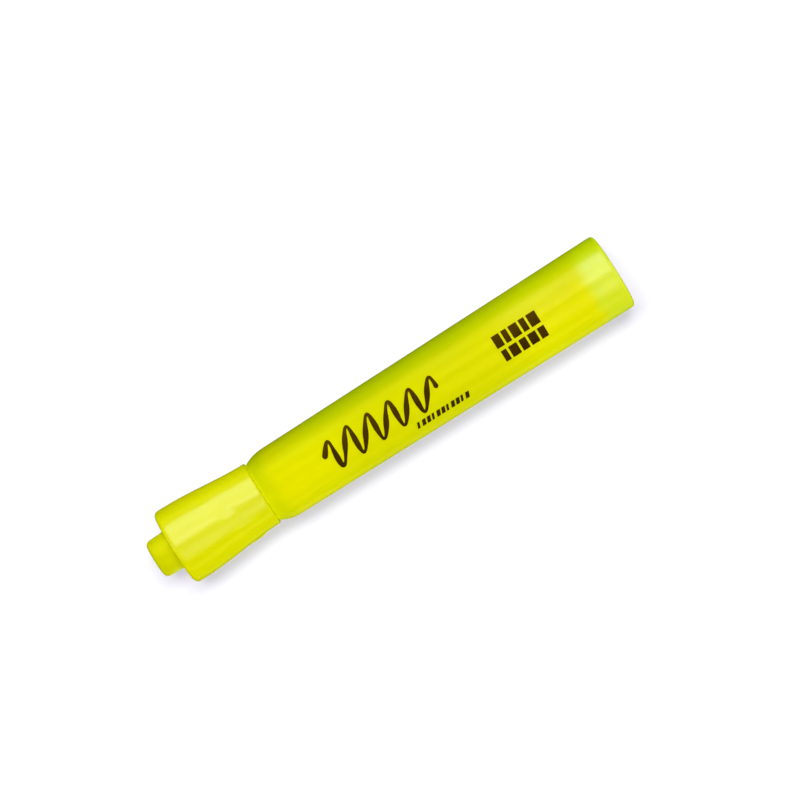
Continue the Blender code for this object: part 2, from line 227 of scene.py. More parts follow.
def block(name, low, high, rounding, turn=0.0):
    """A rounded block. Its corners are (outwards, sideways, station) at an angle round the pen."""
    work = bmesh.new()
    bmesh.ops.create_cube(work, size=1.0)
    middle = [(a + b) / 2 for a, b in zip(low, high)]
    size = [b - a for a, b in zip(low, high)]
    for vertex in work.verts:
        vertex.co = [m + c * s for m, c, s in zip(middle, vertex.co, size)]
    if rounding > 0:
        bmesh.ops.bevel(work, geom=list(work.edges), offset=rounding, segments=3, profile=0.5,
                        affect="EDGES")
    for vertex in work.verts:
        vertex.co = sideways_spot(*vertex.co, turn)
    bmesh.ops.recalc_face_normals(work, faces=work.faces)
    return finished(name, work)


def skin_between(work, top, bottom):
    """Faces over two grids of vertices of the same size, and round their edges."""
    last_row, last = len(top) - 1, len(top[0]) - 1
    for layer in (top, bottom):
        for i in range(last_row):
            for k in range(last):
                work.faces.new((layer[i][k], layer[i + 1][k], layer[i + 1][k + 1], layer[i][k + 1]))
    for i in range(last_row):
        for k in (0, last):
            work.faces.new((top[i][k], top[i + 1][k], bottom[i + 1][k], bottom[i][k]))
    for k in range(last):
        for i in (0, last_row):
            work.faces.new((top[i][k], top[i][k + 1], bottom[i][k + 1], bottom[i][k]))


def sideways_spot(outwards, sideways, station, turn):
    """A point of a flat piece whose outward direction is at the given angle round the pen."""
    out = Vector((0, -math.sin(turn), math.cos(turn)))
    side = Vector((0, math.cos(turn), math.sin(turn)))
    return Vector((TIP_X + station, 0, AXIS_Z)) + out * outwards + side * sideways


# ---------------------------------------------------------------- materials

class Shader:
    """A node tree with short calls for the nodes that the materials below use."""

    def __init__(self, name):
        self.material = bpy.data.materials.new(name)
        self.material.use_nodes = True
        self.tree = self.material.node_tree
        self.main = self.tree.nodes["Principled BSDF"]
        self.place = self.node("ShaderNodeTexCoord").outputs["Object"]

    def node(self, kind, **settings):
        made = self.tree.nodes.new(kind)
        for key, value in settings.items():
            setattr(made, key, value)
        return made

    def put(self, socket, value):
        if isinstance(value, bpy.types.NodeSocket):
            self.tree.links.new(value, socket)
        else:
            socket.default_value = value

    def math(self, operation, a, b=0.0):
        made = self.node("ShaderNodeMath", operation=operation)
        for socket, value in zip(made.inputs, (a, b)):
            self.put(socket, value)
        return made.outputs[0]

    def axis(self, letter):
        """The X, Y or Z place on the pen, in metres."""
        split = self.node("ShaderNodeSeparateXYZ")
        self.put(split.inputs[0], self.place)
        return split.outputs[letter]

    def stretch(self, x, y, z):
        """The place on the pen, scaled, so that a noise is drawn out along an axis."""
        made = self.node("ShaderNodeMapping")
        self.put(made.inputs["Vector"], self.place)
        self.put(made.inputs["Scale"], (x, y, z))
        return made.outputs[0]

    def noise(self, scale, detail=3.0, roughness=0.55, vector=None, distortion=0.0):
        made = self.node("ShaderNodeTexNoise")
        self.put(made.inputs["Vector"], vector or self.place)
        self.put(made.inputs["Scale"], scale)
        self.put(made.inputs["Detail"], detail)
        self.put(made.inputs["Roughness"], roughness)
        self.put(made.inputs["Distortion"], distortion)
        return made.outputs["Fac"]

    def blend(self, factor, a, b, kind="MIX"):
        """Goes from colour a to colour b as the factor goes from 0 to 1.

        Inputs 6 and 7 and output 2 are the node's colour sockets.
        """
        made = self.node("ShaderNodeMix", data_type="RGBA", blend_type=kind)
        self.put(made.inputs["Factor"], factor)
        for socket, value in ((made.inputs[6], a), (made.inputs[7], b)):
            self.put(socket, (*value, 1.0) if isinstance(value, tuple) else value)
        return made.outputs[2]

    def span(self, value, low, high, to_low=0.0, to_high=1.0, smooth=True):
        """Goes from to_low to to_high as the value goes from low to high, and no further."""
        made = self.node("ShaderNodeMapRange", interpolation_type="SMOOTHSTEP" if smooth else "LINEAR")
        for socket, number in zip(made.inputs, (value, low, high, to_low, to_high)):
            self.put(socket, number)
        return made.outputs[0]

    def bump(self, height, distance, under=None):
        """A bump of the given depth in metres, laid over another bump if there is one under it."""
        made = self.node("ShaderNodeBump")
        self.put(made.inputs["Height"], height)
        self.put(made.inputs["Distance"], distance)
        if under:
            self.put(made.inputs["Normal"], under)
        return made.outputs[0]

    def finish(self, **values):
        """Sets the main shader's inputs and returns the material."""
        for key, value in values.items():
            self.put(self.main.inputs[key.replace("_", " ").title().replace("Ior", "IOR")], value)
        return self.material


def moulded(shader, coarse=0.03 * MM, fine=0.006 * MM):
    """Bump of a moulded plastic: slow waviness, fine grain, and faint drag marks along the pen."""
    waves = shader.bump(shader.noise(140, 2.0), coarse)
    grain = shader.bump(shader.noise(5200, 2.0), fine, under=waves)
    drag_marks = shader.noise(2400, 3.0, 0.6, shader.stretch(0.03, 1.0, 1.0))
    return shader.bump(drag_marks, 0.003 * MM, under=grain)


def soaked_fibre(s, along, across):
    """Colour of the barrel where the ink-soaked fibre shows through it, with painted shade that tints its
    +Y flank greener.
    """
    clouds = s.noise(95, 3.0, 0.6, s.stretch(0.45, 1.0, 1.0))
    strands = s.noise(700, 3.0, 0.6, s.stretch(0.05, 1.0, 1.0))
    mottle = s.math("ADD", s.math("MULTIPLY", clouds, 0.7), s.math("MULTIPLY", strands, 0.3))
    from_middle = s.math("ABSOLUTE", s.math("SUBTRACT", along, TIP_X + 70 * MM))
    wetter = s.span(from_middle, 8 * MM, 36 * MM, 0.75, 0.0)
    color = s.blend(s.span(mottle, 0.35, 0.65), (0.710, 0.680, 0.0), (0.760, 0.742, 0.0))
    color = s.blend(wetter, color, (0.645, 0.640, 0.0))
    # painted shade: the +Y flank, which gets less light, is tinted greener (less red, more green)
    painted_green_shade = s.math("MULTIPLY", s.span(across, 4.6 * MM, 7.2 * MM),
                     s.span(along, TIP_X + 38 * MM, TIP_X + 52 * MM))
    return s.blend(painted_green_shade, color, (0.95, 1.05, 1.0), "MULTIPLY")


def barrel_plastic():
    """Translucent barrel: the soaked fibre shows through it, pale where only the plug is behind; painted
    light makes the pale zone lighter and greener on its +Y side.
    """
    s = Shader("barrel_plastic")
    along, across = s.axis("X"), s.axis("Y")
    # the fibre's front edge bends back by 0.8 mm at 8 mm from the middle; the plug's edge wanders
    bend = s.math("MULTIPLY", s.math("POWER", s.math("ABSOLUTE", across), 4.0), 2.0e5)
    fibre = s.span(s.math("SUBTRACT", along, bend), TIP_X + 31.0 * MM, TIP_X + 34.4 * MM)
    wander = s.math("MULTIPLY", s.math("SUBTRACT", s.noise(210, 3.0), 0.5), 3.2 * MM)
    fibre_rear = TIP_X + RESERVOIR[1]
    plug = s.span(s.math("ADD", along, wander), fibre_rear - 1.0 * MM, fibre_rear + 2.4 * MM)

    shoulder = s.blend(s.noise(160), (0.610, 0.640, 0.0), (0.660, 0.675, 0.0))
    pale = s.blend(s.noise(120, 4.0), (0.655, 0.735, 0.019), (0.695, 0.765, 0.023))
    # painted light: the pale zone turns lighter and greener towards +Y, as if lit through the plug
    pale = s.blend(s.span(across, 3.0 * MM, 8.2 * MM), pale, (0.760, 0.865, 0.0))
    color = s.blend(plug, s.blend(fibre, shoulder, soaked_fibre(s, along, across)), pale)

    dry_end = s.span(along, TIP_X + 66 * MM, TIP_X + 112 * MM)
    dried = s.math("MULTIPLY", dry_end, s.span(s.noise(45, 0.0), 0.25, 0.65))
    sheen = s.blend(dried, (1.0, 0.86, 0.0), (1.0, 0.90, 0.30))
    return s.finish(
        base_color=color, roughness=s.span(s.noise(60, 3.0), 0.3, 0.7, 0.205, 0.265, False),
        specular_tint=s.blend(plug, sheen, (1.0, 1.0, 1.0)),
        specular_ior_level=s.span(plug, 0.0, 1.0, 0.28, 0.60, False), normal=moulded(s),
    )


def cap_plastic():
    """Opaque cap: flow marks of the moulding, and painted light that makes its front (-Y) side a little
    brighter and warmer.
    """
    s = Shader("cap_plastic")
    flow = s.noise(130, 4.0, 0.6, s.stretch(0.5, 1.0, 1.0), 0.8)
    color = s.blend(s.span(flow, 0.3, 0.7), (0.685, 0.688, 0.0), (0.712, 0.710, 0.0))
    # painted light: the -Y side of the cap is made a little brighter and warmer
    painted_front_light = s.span(s.axis("Y"), -6.5 * MM, -3 * MM, 1.0, 0.0)
    color = s.blend(painted_front_light, color, (1.06, 1.02, 1.0), "MULTIPLY")
    return s.finish(
        base_color=color, roughness=s.span(s.noise(75, 3.0), 0.3, 0.7, 0.16, 0.24, False),
        specular_ior_level=0.5, normal=moulded(s, 0.022 * MM),
    )


def seal_plastic():
    """Softer, duller plastic of a deeper yellow than the cap."""
    s = Shader("seal_plastic")
    color = s.blend(s.noise(240, 3.0), (0.545, 0.550, 0.0), (0.600, 0.600, 0.0))
    return s.finish(base_color=color, roughness=s.span(s.noise(150), 0.3, 0.7, 0.34, 0.46, False),
                    specular_tint=(1.0, 0.95, 0.03, 1.0), specular_ior_level=0.3,
                    normal=moulded(s, 0.02 * MM, 0.01 * MM))


def plug_plastic():
    """Plug of the barrel's rear end, in a slightly paler yellow."""
    s = Shader("plug_plastic")
    color = s.blend(s.noise(180, 3.0), (0.71, 0.77, 0.012), (0.75, 0.80, 0.03))
    return s.finish(base_color=color, roughness=0.36, normal=moulded(s, 0.02 * MM, 0.01 * MM))


def holder_plastic():
    """White collar, stained by the ink towards its nose."""
    s = Shader("holder_plastic")
    along = s.axis("X")
    edge = s.math("ADD", along, s.math("MULTIPLY", s.noise(900, 3.0), 1.6 * MM))
    stain = s.span(edge, TIP_X + HOLDER[0] + 1.2 * MM, TIP_X + HOLDER[0] + 5.5 * MM, 0.85, 0.06)
    clean = s.blend(s.noise(220), (0.80, 0.80, 0.74), (0.84, 0.84, 0.80))
    color = s.blend(stain, clean, (0.78, 0.83, 0.03))
    return s.finish(base_color=color, roughness=0.42, normal=moulded(s, 0.01 * MM))


def nib_felt():
    """Pressed felt: fine fibres along the nib, darker where they are packed."""
    s = Shader("nib_felt")
    fibres = s.noise(3600, 4.0, 0.7, s.stretch(0.16, 1.0, 1.0), 0.6)
    knots = s.noise(1500, 3.0)
    shade = s.math("ADD", s.math("MULTIPLY", fibres, 0.7), s.math("MULTIPLY", knots, 0.3))
    color = s.blend(s.span(shade, 0.35, 0.65), (0.64, 0.72, 0.005), (0.82, 0.88, 0.02))
    return s.finish(base_color=color, roughness=0.85, sheen_weight=0.25,
                    normal=s.bump(shade, 0.06 * MM, under=s.bump(knots, 0.03 * MM)))


def ink_fibre():
    """Soaked fibre rod: fine bright and deep strands along the pen."""
    s = Shader("ink_fibre")
    fibres = s.noise(2600, 4.0, 0.7, s.stretch(0.06, 1.0, 1.0), 0.4)
    color = s.blend(s.span(fibres, 0.35, 0.65), (0.68, 0.72, 0.003), (0.82, 0.84, 0.01))
    return s.finish(base_color=color, roughness=0.9, normal=s.bump(fibres, 0.08 * MM))


def reservoir_film():
    """Thin glossy film, wrinkled along the pen."""
    s = Shader("reservoir_film")
    wrinkles = s.noise(420, 3.0, 0.6, s.stretch(0.3, 1.0, 1.0), 1.0)
    color = s.blend(wrinkles, (0.78, 0.80, 0.05), (0.86, 0.87, 0.10))
    return s.finish(base_color=color, roughness=0.14, normal=s.bump(wrinkles, 0.05 * MM))


def print_ink():
    """Dark brown screen-print ink, slightly thin and pin-holed, so that the yellow warms it."""
    s = Shader("print_ink")
    thin = s.span(s.noise(2400, 4.0, 0.7), 0.58, 0.75)
    patches = s.span(s.noise(330, 3.0), 0.3, 0.7)
    color = s.blend(patches, (0.022, 0.009, 0.0), (0.036, 0.015, 0.0))
    color = s.blend(thin, color, (0.10, 0.062, 0.0))
    return s.finish(base_color=color, roughness=s.span(patches, 0, 1, 0.36, 0.5, False),
                    specular_tint=(1.0, 0.62, 0.0, 1.0), specular_ior_level=0.26,
                    normal=s.bump(s.noise(2400, 4.0), 0.008 * MM))


def dress(piece, material, body, slot, *nodes):
    """Gives a piece its material, its body and the CAD nodes that it stands for."""
    piece.data.materials.clear()
    piece.data.materials.append(material)
    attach(piece, body)
    if nodes:
        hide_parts(*nodes)


# ---------------------------------------------------------------- pieces

PARTING = (math.radians(50.5), math.radians(230.5))  # the barrel mould's two parting lines
RIDGE_HALF, RIDGE_HEIGHT = 0.09 * MM, 0.022 * MM


def ridge_angles():
    """Angles of the extra corners that the two parting-line ridges need."""
    half_angle = RIDGE_HALF / (9 * MM)  # the barrel's outside is about 9 mm from its axis
    found = []
    for middle in PARTING:
        for share in (-1.6, -1.0, -0.5, 0.001, 0.5, 1.0, 1.6):
            found.append(middle + share * half_angle)
    return found


def barrel_relief(radius, station, angle):
    """Parting-line ridges on the outside, and the slow waviness of a thick moulding."""
    on_neck = radius < 7.3 * MM
    on_bore = station > SHOULDER_END and radius < barrel_radius(station) - 0.6 * MM
    if on_neck or on_bore:
        return 0.0
    wave = 0.010 * MM * math.sin(station * 190 + 2 * angle) * math.sin(3 * angle + 0.7)
    for middle in PARTING:
        away = abs((angle - middle + math.pi) % math.tau - math.pi) * radius
        if away < RIDGE_HALF:
            wave += RIDGE_HEIGHT * (1 + math.cos(math.pi * away / RIDGE_HALF)) / 2
    return wave


def make_barrel():
    """The shell: rear rim, tapering outside, shoulder, neck with its snap bead, and the bore."""
    inner_rear = REAR_RADIUS - BARREL_WALL
    inner_front = barrel_radius(RESERVOIR[0]) - BARREL_WALL
    bore_end = LENGTH - 1 * MM
    rear = fillet([(inner_rear, bore_end, 0), (inner_rear, LENGTH, 0.12 * MM),
                   (REAR_RADIUS, LENGTH, 1.05 * MM), (REAR_RADIUS, TAPER_END, 0)], closed=False)
    taper = spaced([(REAR_RADIUS, TAPER_END), (FRONT_RADIUS, TAPER_START)], 3 * MM)
    sweep, steps = math.asin((SHOULDER_END - SHOULDER_START) / SHOULDER_ARC), 16
    shoulder = []
    for i in range(steps + 1):
        turn = sweep * i / steps
        shoulder.append((barrel_radius(SHOULDER_END) - SHOULDER_ARC * (1 - math.cos(turn)),
                         SHOULDER_END - SHOULDER_ARC * math.sin(turn)))
    step_radius = shoulder[-1][0]
    bead_radius = NECK_RADIUS + 0.25 * MM
    nose, nose_radius = 22.5 * MM, NECK_RADIUS - 0.12 * MM  # the neck's thinner front part
    bore_step = 30.4 * MM  # where the neck's bore opens into the barrel's
    neck = fillet([
        (step_radius + 0.3 * MM, SHOULDER_START + 0.6 * MM, 0),
        (step_radius, SHOULDER_START, 0.12 * MM), (NECK_RADIUS, SHOULDER_START, 0.2 * MM),
        (NECK_RADIUS, SNAP_BEAD + 1.0 * MM, 0.4 * MM),
        (bead_radius, SNAP_BEAD + 0.2 * MM, 0.5 * MM), (bead_radius, SNAP_BEAD - 0.2 * MM, 0.5 * MM),
        (NECK_RADIUS, SNAP_BEAD - 1.1 * MM, 0.4 * MM),
        (NECK_RADIUS, nose + 0.1 * MM, 0.06 * MM), (nose_radius, nose, 0.06 * MM),
        (nose_radius, NECK_FRONT, 0.4 * MM), (NECK_BORE, NECK_FRONT, 0.2 * MM),
        (NECK_BORE, bore_step, 0.5 * MM), (inner_front - 0.5 * MM, bore_step + 1.1 * MM, 0.4 * MM),
        (inner_front, bore_step + 1.8 * MM, 0.4 * MM), (inner_rear, bore_end, 0),
    ], closed=False)
    profile = rear[:-1] + taper + shoulder[:-1] + neck[1:-1]
    piece = turned("barrel_body", profile, relief=barrel_relief, extra=ridge_angles())
    dress(piece, barrel_plastic(), "barrel", "barrel_plastic", "barrel")


def make_rear_plug():
    """A cup in the barrel's rear end, with a gate mark and a ring groove in its outer face."""
    outer = REAR_RADIUS - BARREL_WALL - 0.15 * MM
    inner = outer - 1.1 * MM
    floor = LENGTH - 1.4 * MM
    gate_floor, groove_floor = LENGTH - 0.12 * MM, LENGTH - 0.1 * MM
    profile = fillet([
        (0.0, gate_floor, 0), (0.75 * MM, gate_floor, 0.05 * MM), (0.85 * MM, LENGTH, 0.05 * MM),
        (outer - 1.5 * MM, LENGTH, 0.1 * MM), (outer - 1.4 * MM, groove_floor, 0.05 * MM),
        (outer - 1.1 * MM, groove_floor, 0.05 * MM), (outer - 1.0 * MM, LENGTH, 0.1 * MM),
        (outer, LENGTH, 0.3 * MM), (outer, PLUG_FRONT + 1.2 * MM, 0.3 * MM),
        (outer - 0.35 * MM, PLUG_FRONT, 0.2 * MM), (inner, PLUG_FRONT, 0.2 * MM),
        (inner, floor, 0.6 * MM), (0.0, floor, 0),
    ], closed=False)
    piece = turned("rear_plug_cup", profile, closed=False)
    dress(piece, plug_plastic(), "barrel", "plug_plastic", "rear_plug")


def film_wrinkles(_radius, station, angle):
    """Small wrinkles of the film round the fibre."""
    return 0.015 * MM * math.sin(9 * angle + 6000 * station) * math.sin(900 * station)


def make_reservoir():
    """The fibre rod with a socket for the nib and a groove for the tube, its film and the tube."""
    film, radius = 0.15 * MM, 7.2 * MM
    fibre = radius - 2 * film
    front, rear = RESERVOIR[0] + 0.3 * MM, RESERVOIR[1] - 0.3 * MM
    socket, socket_end = 3.3 * MM, NIB[1] + 0.3 * MM
    core = turned("reservoir_fibre", fillet([
        (0.0, rear, 0), (fibre, rear, 0.5 * MM), (fibre, front, 0.5 * MM), (socket, front, 0.2 * MM),
        (socket, socket_end, 0.3 * MM), (0.0, socket_end + 0.9 * MM, 0),
    ], closed=False), closed=False, segments=96)
    groove, tube_place = 0.85 * MM, fibre - 0.72 * MM
    cutter = turned("groove", [(0.0, rear + MM), (groove, rear + MM), (groove, front - MM),
                               (0.0, front - MM)], closed=False, segments=24)
    carve(core, [beside_axis(cutter, tube_place)])
    dress(core, ink_fibre(), "barrel", "ink_fibre", "reservoir_core")

    outline = spaced([(radius, RESERVOIR[1]), (radius, RESERVOIR[0]), (radius - film, RESERVOIR[0]),
                      (radius - film, RESERVOIR[1])], 2 * MM)
    sleeve = turned("reservoir_film", outline, relief=film_wrinkles, segments=96)
    film_material = reservoir_film()
    dress(sleeve, film_material, "barrel", "reservoir_film", "reservoir_wrap")

    tube_radius, tube_bore = 0.6 * MM, 0.35 * MM
    start, end = front + 0.5 * MM, rear - 0.5 * MM
    walls = spaced([(tube_radius, end), (tube_radius, start), (tube_bore, start), (tube_bore, end)],
                   4 * MM)
    tube = beside_axis(turned("breather_straw", walls, segments=24), tube_place)
    dress(tube, film_material, "barrel", "reservoir_film", "breather_tube")


def beside_axis(piece, offset):
    """Moves a turned piece sideways from the pen's axis, towards +Y."""
    for vertex in piece.data.vertices:
        vertex.co.y += offset
    return piece


def make_nib_holder():
    """The collar: a plug in the neck, a flange, a tapering nose, the nib's slot and two vents."""
    plug, nose = NECK_BORE - 0.15 * MM, 3.7 * MM
    flange, flange_rear = 6.45 * MM, NECK_FRONT - 0.3 * MM
    flange_front = flange_rear - 1.1 * MM
    front, rear = HOLDER
    piece = turned("nib_collar", fillet([
        (0.0, rear, 0), (plug - 0.5 * MM, rear, 0.2 * MM), (plug, rear - 0.8 * MM, 0.3 * MM),
        (plug, flange_rear, 0.1 * MM), (flange, flange_rear, 0.15 * MM), (flange, flange_front, 0.3 * MM),
        (flange - 0.9 * MM, flange_front, 0.2 * MM), (nose + 0.6 * MM, 17.4 * MM, 0.5 * MM),
        (nose, 16.6 * MM, 0.4 * MM), (nose, front, 0.45 * MM), (0.0, front, 0),
    ], closed=False), closed=False)
    clearance = 0.12 * MM
    half_w, half_t = NIB_WIDTH / 2 + clearance, NIB_THICKNESS / 2 + clearance
    cutters = [block("slot", (-half_t, -half_w, front - MM), (half_t, half_w, rear + MM), 0.35 * MM)]
    vent_half, vent_front = 0.4 * MM, 18.6 * MM
    for side in (0.0, math.pi):
        low, high = (plug - 0.55 * MM, -vent_half, vent_front), (flange + MM, vent_half, rear + MM)
        cutters.append(block("vent", low, high, 0.0, side))
    carve(piece, cutters)
    dress(piece, holder_plastic(), "barrel", "holder_plastic", "nib_holder")


def make_nib():
    """A felt bar with softly rounded edges, a slanted front and a tapering tail."""
    half, slant, rounding = NIB_WIDTH / 2, NIB_WIDTH * 0.62, 0.5 * MM
    tip, tail = NIB
    tail_start = tail - 5.0 * MM
    outline = fillet([
        (half, tip, rounding), (half, tail_start, 2 * MM), (0.7 * MM, tail - 0.2 * MM, 0.3 * MM),
        (0.3 * MM, tail, 0.2 * MM), (-0.3 * MM, tail, 0.2 * MM), (-0.7 * MM, tail - 0.2 * MM, 0.3 * MM),
        (-half, tail_start, 2 * MM), (-half, tip + slant, rounding),
    ], fineness=math.radians(14))
    work = bmesh.new()
    rim = [work.verts.new((NIB_THICKNESS / 2, side, station)) for side, station in outline]
    face = work.faces.new(rim)
    grown = bmesh.ops.extrude_face_region(work, geom=[face])
    moved = [v for v in grown["geom"] if isinstance(v, bmesh.types.BMVert)]
    bmesh.ops.translate(work, verts=moved, vec=(-NIB_THICKNESS, 0, 0))
    rim_edges = [e for e in work.edges if abs(e.verts[0].co.x - e.verts[1].co.x) < NEAR_ZERO]
    bmesh.ops.bevel(work, geom=rim_edges, offset=0.42 * MM, segments=4, profile=0.5,
                    affect="EDGES", clamp_overlap=True)
    bmesh.ops.remove_doubles(work, verts=work.verts, dist=0.01 * MM)
    for vertex in work.verts:
        vertex.co = sideways_spot(*vertex.co, 0.0)
    bmesh.ops.recalc_face_normals(work, faces=work.faces)
    piece = finished("felt_nib", work, 50)
    dress(piece, nib_felt(), "barrel", "nib_felt", "chisel_nib")


# the cap's sink marks: station, degrees round from straight up towards -Y, depth
SINK_MARKS = ((20.3 * MM, -4.5, 0.31 * MM), (22.4 * MM, 22.0, 0.26 * MM))
SINK_LENGTH = 1.8 * MM  # how far a mark spreads along the cap, and round it in degrees
SINK_TO_FRONT, SINK_TO_BACK = 10, 30


def cap_relief(radius, station, angle):
    """Sink marks of the moulding, opposite the clip's tip, and a slow waviness."""
    if radius < cap_radius(station) - 0.5 * MM or station < CAP_END + 0.6 * MM:
        return 0.0
    raised = 0.008 * MM * math.sin(station * 260 + angle) * math.sin(2 * angle + 1.1)
    degrees = math.degrees((angle + math.pi) % math.tau - math.pi)
    for place, turn, depth in SINK_MARKS:
        along = (station - place) / SINK_LENGTH
        around = (degrees - turn) / (SINK_TO_FRONT if degrees > turn else SINK_TO_BACK)
        raised -= depth * math.exp(-along * along - around * around)
    return raised


def make_cap():
    """The cap's shell: lip, waist, closed end with a hole for the seal, bore, seat for the clip."""
    waist_start, steps = CAP_MOUTH - 1.2 * MM, 24
    waist = []
    for i in range(steps + 1):
        station = waist_start + (CAP_TAPER_START - waist_start) * i / steps
        waist.append((cap_radius(station), station))
    lip_radius = CAP_MOUTH_RADIUS + 0.03 * MM
    lip_inside = (CAP_MOUTH_RADIUS - 0.8 * MM, CAP_MOUTH - 0.4 * MM, 0)
    lip = fillet([
        lip_inside, (CAP_MOUTH_RADIUS - 0.7 * MM, CAP_MOUTH, 0.08 * MM),
        (lip_radius, CAP_MOUTH, 0.55 * MM), (lip_radius, CAP_MOUTH - 0.9 * MM, 0.2 * MM),
        waist[0] + (0,)], closed=False)
    bore = CAP_RADIUS - CAP_WALL - 0.2 * MM
    floor = CAP_END + 1.5 * MM
    hole, hole_bevel = STUB_RADIUS + 0.12 * MM, 0.25 * MM
    mouth_bore, snap_ridge = 7.2 * MM, 7.0 * MM
    inside = fillet([
        waist[-1] + (0,), (CAP_RADIUS, CAP_END, 1.3 * MM), (hole + hole_bevel, CAP_END, 0.0),
        (hole, CAP_END + hole_bevel, 0.0), (hole, floor, 0.1 * MM), (bore, floor, 0.7 * MM),
        (bore, 10.0 * MM, 2 * MM), (cap_radius(15 * MM) - CAP_WALL, 15 * MM, 3 * MM),
        (cap_radius(21 * MM) - 1.1 * MM, 21 * MM, 3 * MM), (mouth_bore, SNAP_BEAD + 0.3 * MM, 0.5 * MM),
        (snap_ridge, SNAP_BEAD + 1.1 * MM, 0.3 * MM), (snap_ridge, SNAP_BEAD + 1.6 * MM, 0.3 * MM),
        lip_inside], closed=False)
    piece = turned("cap_body", lip[:-1] + waist[:-1] + inside[:-1], relief=cap_relief)

    turn, half = math.pi - CLIP_TURN, CLIP_WIDTH / 2 + 0.3 * MM
    beyond = 12 * MM  # a radius well outside the cap
    pocket_low = (8.45 * MM, -half, FOOT_START - 0.3 * MM)
    pocket_high = (beyond, half, FOOT_END + 0.3 * MM)
    seat = block("seat", (9.25 * MM, -half, CAP_END - MM), (beyond, half, 13.5 * MM), 0.0, turn)
    pocket = block("pocket", pocket_low, pocket_high, 0.0, turn)
    carve(piece, [seat, pocket])
    dress(piece, CAP_MATERIAL, "cap", "cap_plastic", "cap_shell")


def make_seal():
    """The tube that keeps the nib moist. Its closed end is the stub on the cap's end."""
    floor = 1.2 * MM
    flange, flange_front = 6.4 * MM, CAP_END + 1.8 * MM
    flange_rear = flange_front + MM
    dimple, dimple_floor = 0.9 * MM, 0.1 * MM
    profile = fillet([
        (0.0, floor, 0), (SEAL_BORE, floor, 0.7 * MM), (SEAL_BORE, SEAL_MOUTH - 0.5 * MM, 0.3 * MM),
        (SEAL_BORE + 0.25 * MM, SEAL_MOUTH, 0.05 * MM), (STUB_RADIUS - 0.3 * MM, SEAL_MOUTH, 0.1 * MM),
        (STUB_RADIUS, SEAL_MOUTH - 0.6 * MM, 0.2 * MM), (STUB_RADIUS, flange_rear, 0.15 * MM),
        (flange, flange_rear, 0.15 * MM), (flange, flange_front, 0.15 * MM),
        (STUB_RADIUS, flange_front, 0.1 * MM), (STUB_RADIUS, CAP_END, 0.0),
        (STUB_TIP_RADIUS + 0.02 * MM, 0.0, 1.3 * MM), (dimple + 0.1 * MM, 0.0, 0.08 * MM),
        (dimple, dimple_floor, 0.05 * MM), (0.0, dimple_floor, 0),
    ], closed=False)
    piece = turned("cap_seal_tube", profile, closed=False)
    dress(piece, seal_plastic(), "cap", "seal_plastic", "cap_inner_seal")


def quarter_round(share):
    """A quarter circle's height, from 1 at the share 0 down to 0 at the share 1 or more."""
    return math.sqrt(max(0.0, 1 - share * share))


def clip_section(station, columns):
    """The clip's (outwards, sideways, station) points across it at a station: outer row, inner row."""
    half, tip_length, root_length = CLIP_WIDTH / 2, 4.4 * MM, 0.5 * MM
    bead, bead_length, bead_height = 24.0 * MM, 1.25 * MM, 1.0 * MM
    into_tip = max(0.0, (station - (CLIP_TIP - tip_length)) / tip_length)
    width = max(half * quarter_round(into_tip), 0.25 * MM)
    from_root = min(1.0, (station - CLIP_START) / root_length)
    drop = root_length * (1 - quarter_round(1 - from_root)) + 0.4 * MM * into_tip ** 2
    outer, inner = [], []
    for j in range(columns + 1):
        share = 2 * j / columns - 1
        rolled = 0.16 * MM * abs(share) ** 8
        from_bead = math.hypot((station - bead) / bead_length, share * 0.9)
        outer.append((CLIP_OUTER - drop - rolled, share * width, station))
        inner.append((CLIP_INNER + rolled * 0.6 - bead_height * quarter_round(from_bead),
                      share * width, station))
    return outer, inner


def make_clip():
    """The clip: a bar with rolled edges, a long rounded tip, a bead under it and a foot."""
    rows, columns = 90, 16
    work = bmesh.new()
    outer, inner = [], []
    for i in range(rows + 1):
        section = clip_section(CLIP_START + (CLIP_TIP - CLIP_START) * i / rows, columns)
        for layer, points in zip((outer, inner), section):
            layer.append([work.verts.new(point) for point in points])
    skin_between(work, outer, inner)
    turn = math.pi - CLIP_TURN
    for vertex in work.verts:
        vertex.co = sideways_spot(*vertex.co, turn)
    bmesh.ops.recalc_face_normals(work, faces=work.faces)
    piece = finished("clip_bar", work)

    foot_half = CLIP_WIDTH / 2 - 0.07 * MM
    foot_low = (8.75 * MM, -foot_half, FOOT_START)
    foot_high = (CLIP_INNER + 0.15 * MM, foot_half, FOOT_END)
    foot = block("foot", foot_low, foot_high, 0.1 * MM, turn)
    union = piece.modifiers.new("foot", "BOOLEAN")
    union.operation = "UNION"
    union.solver = "EXACT"
    union.object = foot
    settle(piece)
    bpy.data.objects.remove(foot, do_unlink=True)
    dress(piece, CAP_MATERIAL, "clip", "cap_plastic", "pocket_clip")


# ---------------------------------------------------------------- print

INK_LOW, INK_HIGH = 0.012 * MM, 0.034 * MM  # the ink's underside and top over the barrel


def ink_vertex(work, station, around, height):
    """A vertex over the barrel. around is the way round it from straight up, towards -Y."""
    radius = barrel_radius(station)
    return work.verts.new(spot(radius + height, station, around / radius))


def ink_grid(work, rows):
    """A closed film of ink over rows of (station, around) points."""
    layers = []
    for height in (INK_HIGH, INK_LOW):
        layers.append([[ink_vertex(work, x, y, height) for x, y in row] for row in rows])
    skin_between(work, *layers)


